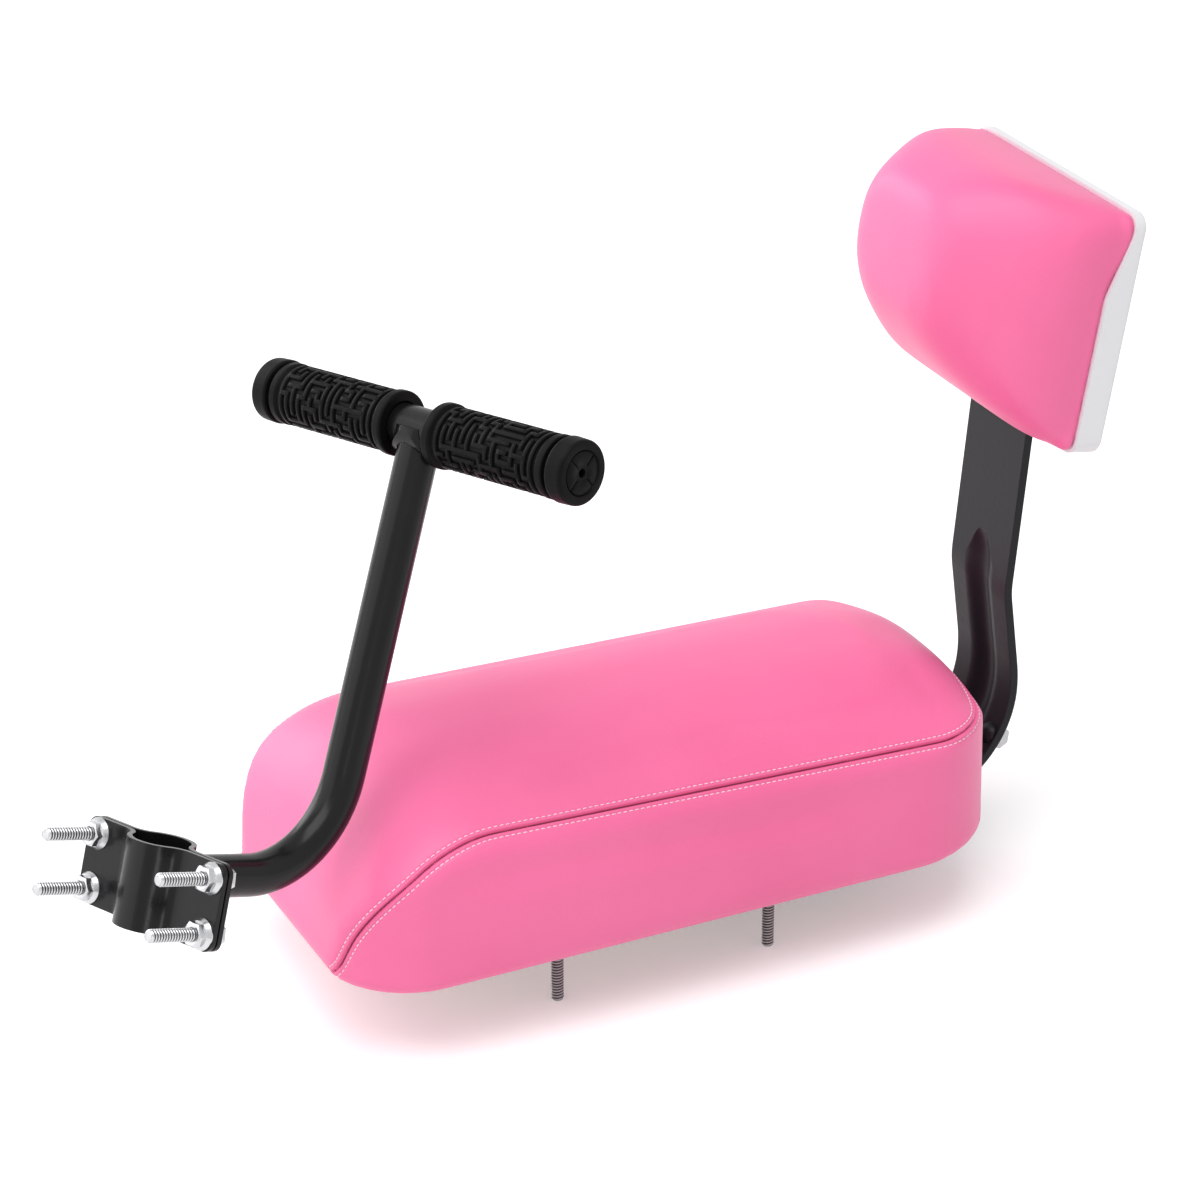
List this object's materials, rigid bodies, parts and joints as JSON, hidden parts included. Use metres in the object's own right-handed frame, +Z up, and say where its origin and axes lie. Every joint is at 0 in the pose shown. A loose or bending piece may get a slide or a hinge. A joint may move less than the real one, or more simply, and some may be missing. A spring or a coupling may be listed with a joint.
{
  "type": "rear rack cushion seat",
  "caption": "Padded passenger seat for a bicycle's rear rack, with a backrest on a bent flat bar and a separate grab handle that clamps to the seat post.",
  "frame": {"origin": "centre of the rack stud pattern on the underside of the seat board", "axes": "+Z up, -Y to the front of the bicycle, +X to the rider's left"},
  "size_m": [0.2191, 0.5378, 0.3556],
  "materials": {
    "leatherette": "satin",
    "foam": "matte",
    "plywood": "matte",
    "bar_paint": "satin",
    "gloss_paint": "gloss",
    "zinc": "polished",
    "white_plastic": "satin",
    "black_rubber": "matte"
  },
  "bodies": {
    "root": {"seat_top_panel": "leatherette", "seat_side_band": "leatherette", "seat_foam": "foam", "seat_base_board": "plywood", "rack_studs": "zinc", "foot_screws": "zinc", "foot_tee_nuts": "zinc", "backrest_bar": "bar_paint", "bend_bolts": "bar_paint", "bend_nuts": "zinc", "backrest_shell": "white_plastic", "backrest_cover": "leatherette", "backrest_foam": "foam", "backrest_board": "plywood", "backrest_bolts": "zinc", "backrest_washers": "zinc", "backrest_tee_nuts": "zinc", "handle_stem": "gloss_paint", "handle_crossbar": "gloss_paint", "crossbar_weld": "gloss_paint", "stem_weld": "gloss_paint", "left_grip": "black_rubber", "right_grip": "black_rubber", "front_clamp_plate": "gloss_paint", "rear_clamp_plate": "gloss_paint", "clamp_bolts": "zinc", "clamp_nuts": "zinc"}
  },
  "joints": []
}
